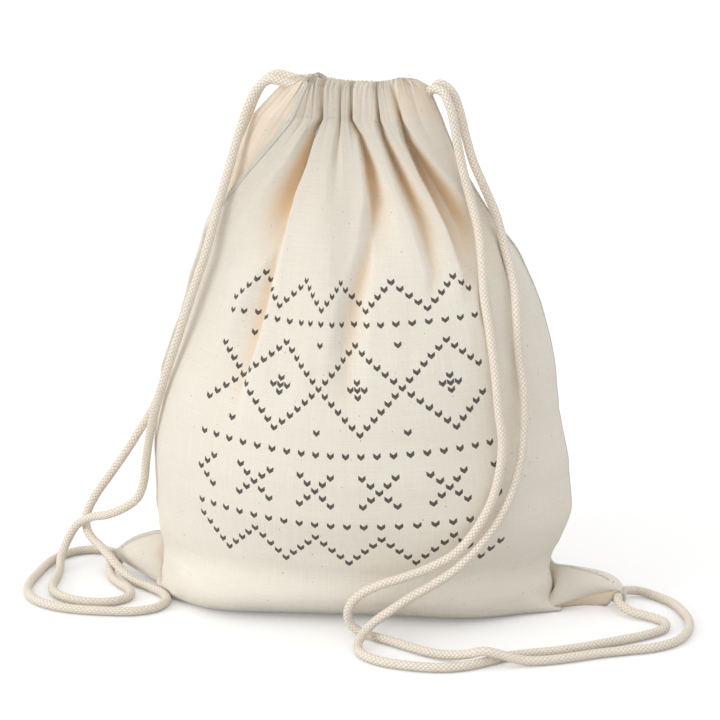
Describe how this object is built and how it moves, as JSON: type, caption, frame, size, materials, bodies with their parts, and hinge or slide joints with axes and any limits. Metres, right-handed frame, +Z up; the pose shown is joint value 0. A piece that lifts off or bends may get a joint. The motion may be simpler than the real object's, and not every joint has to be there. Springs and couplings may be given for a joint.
{
  "type": "drawstring knitting bag",
  "caption": "Filled cotton drawstring bag that stands on the floor, its mouth gathered by cords that run through the hems and are sewn into the bottom corners as shoulder straps.",
  "frame": {"origin": "centre of the base, on the floor", "axes": "+X towards the viewer's right along the mouth, front faces -Y, +Z up"},
  "size_m": [0.4204, 0.2215, 0.322],
  "materials": {
    "calico": "unbleached plain-weave cotton with sparse brown seed flecks",
    "overlocked_seam": "two layers of calico sewn together with cotton thread",
    "braided_cord": "soft braided cotton cord"
  },
  "bodies": {
    "bag": {"front_panel": "calico", "back_panel": "calico", "front_hem": "calico", "back_hem": "calico", "left_side_seam": "overlocked_seam", "right_side_seam": "overlocked_seam", "bottom_seam": "overlocked_seam", "left_corner_tack": "overlocked_seam", "right_corner_tack": "overlocked_seam", "left_cord_front_strand": "braided_cord", "left_cord_back_strand": "braided_cord", "right_cord_front_strand": "braided_cord", "right_cord_back_strand": "braided_cord"},
    "left_cord": {"left_cord_hairpin": "braided_cord"},
    "right_cord": {"right_cord_hairpin": "braided_cord"}
  },
  "joints": [
    {"name": "left_cord_pull", "type": "slide", "parent": "bag", "child": "left_cord", "axis": [-1, 0, 0], "range_m": [0, 0.006], "deforming": ["left_cord_front_strand", "left_cord_back_strand"]},
    {"name": "right_cord_pull", "type": "slide", "parent": "bag", "child": "right_cord", "axis": [1, 0, 0], "range_m": [0, 0.006], "deforming": ["right_cord_front_strand", "right_cord_back_strand"]}
  ]
}
